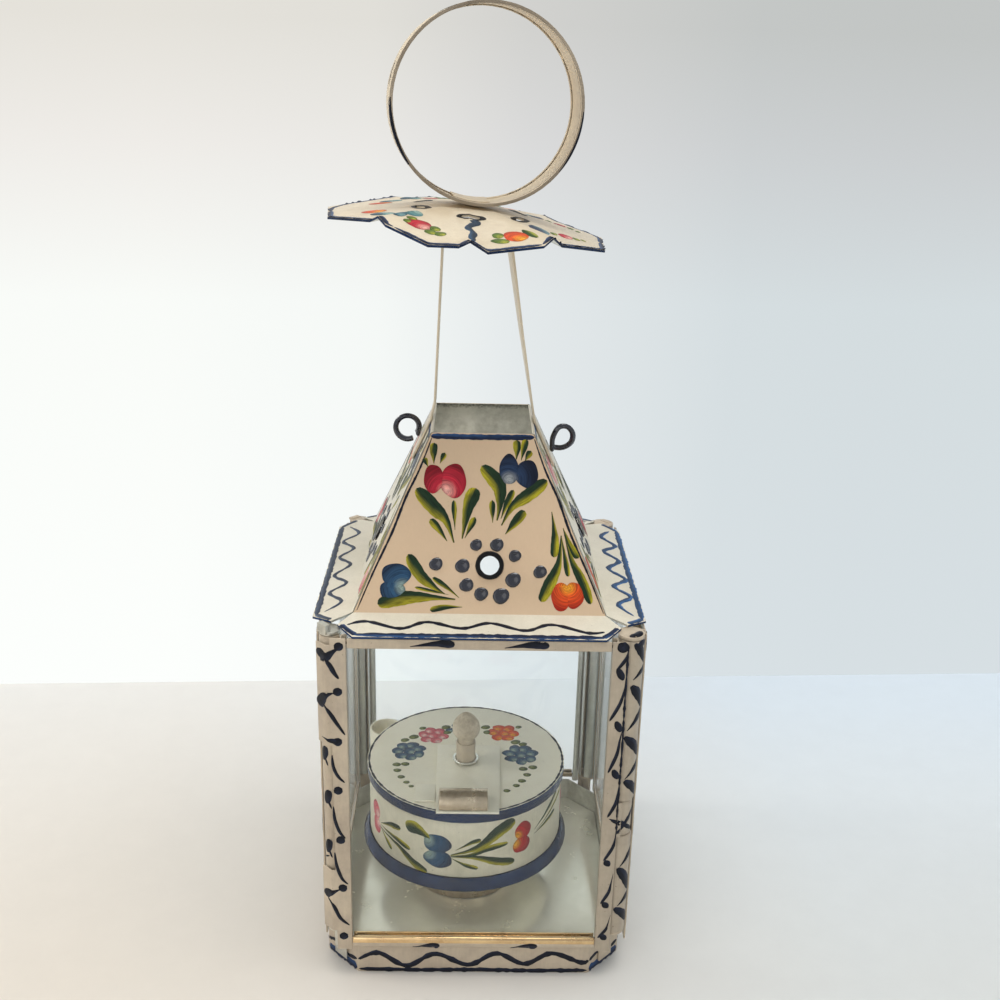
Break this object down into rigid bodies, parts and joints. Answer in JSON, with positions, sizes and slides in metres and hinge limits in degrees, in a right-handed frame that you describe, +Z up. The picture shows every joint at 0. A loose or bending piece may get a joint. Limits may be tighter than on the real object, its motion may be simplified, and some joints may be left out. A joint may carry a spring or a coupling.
{
  "type": "oil lantern",
  "caption": "Square painted tin oil lantern with glazed sides, a hinged door, a lift-out oil burner, a crimped smoke canopy and a ring handle on top.",
  "frame": {"origin": "middle of the base, on the surface that the lantern stands on", "axes": "+Z up, -Y out of the door, +X to the right of someone who faces the door, on the hinge side"},
  "size_m": [0.1162, 0.1166, 0.3415],
  "materials": {
    "cream_paint": "satin brushed paint on tin",
    "navy_paint": "glossy",
    "black_paint": "glossy",
    "tin": "dull bright tinplate",
    "glass": "clear",
    "cotton": "matt"
  },
  "bodies": {
    "lantern": {"base_apron": "cream_paint", "base_floor": "tin", "post_foot_front_left": "tin", "post_foot_front_right": "cream_paint", "post_foot_rear_right": "cream_paint", "post_foot_rear_left": "cream_paint", "post_cap_front_left": "tin", "post_cap_front_right": "cream_paint", "post_cap_rear_right": "cream_paint", "post_cap_rear_left": "cream_paint", "post_front_left": "cream_paint", "post_rear_right": "cream_paint", "post_rear_left": "cream_paint", "hinge_roll_lower": "cream_paint", "hinge_roll_upper": "cream_paint", "hinge_pin": "tin", "right_stile_a": "cream_paint", "right_stile_b": "cream_paint", "right_rail_bottom": "cream_paint", "right_rail_top": "cream_paint", "right_glass": "glass", "rear_stile_a": "cream_paint", "rear_stile_b": "cream_paint", "rear_rail_bottom": "cream_paint", "rear_rail_top": "cream_paint", "rear_glass": "glass", "left_stile_a": "cream_paint", "left_stile_b": "cream_paint", "left_rail_bottom": "cream_paint", "left_rail_top": "cream_paint", "left_glass": "glass", "roof_front": "cream_paint", "roof_right": "cream_paint", "roof_rear": "cream_paint", "roof_left": "cream_paint", "strap_left": "cream_paint", "strap_right": "cream_paint", "eyelet_left": "black_paint", "eyelet_right": "black_paint", "canopy": "cream_paint", "ring_handle": "cream_paint", "ring_lap": "cream_paint", "burner_pedestal": "tin"},
    "door": {"door_stile_right": "cream_paint", "door_stile_left": "cream_paint", "door_rail_bottom": "cream_paint", "door_rail_top": "cream_paint", "door_glass": "glass"},
    "burner": {"drum_bottom": "tin", "drum_wall": "cream_paint", "drum_foot": "navy_paint", "drum_lid": "cream_paint", "drum_finger_loop": "cream_paint", "lid_stop_tab": "cream_paint"},
    "wick_holder": {"wick_plate": "cream_paint", "wick_plate_grip": "cream_paint", "wick_tube": "cream_paint", "wick_tube_collar": "tin"},
    "wick_cord": {"wick": "cotton"}
  },
  "joints": [
    {"name": "door_hinge", "type": "hinge", "parent": "lantern", "child": "door", "pos_m": [0.0518, -0.0518, 0.0691], "axis": [0, 0, 1], "range_deg": [0, 100]},
    {"name": "burner_lift", "type": "slide", "parent": "lantern", "child": "burner", "axis": [0, 0, 1], "range_m": [0, 0.02]},
    {"name": "wick_holder_lift", "type": "slide", "parent": "burner", "child": "wick_holder", "axis": [0, 0, 1], "range_m": [0, 0.03]},
    {"name": "wick_raise", "type": "slide", "parent": "wick_holder", "child": "wick_cord", "axis": [0, 0, 1], "range_m": [0, 0.008]}
  ]
}
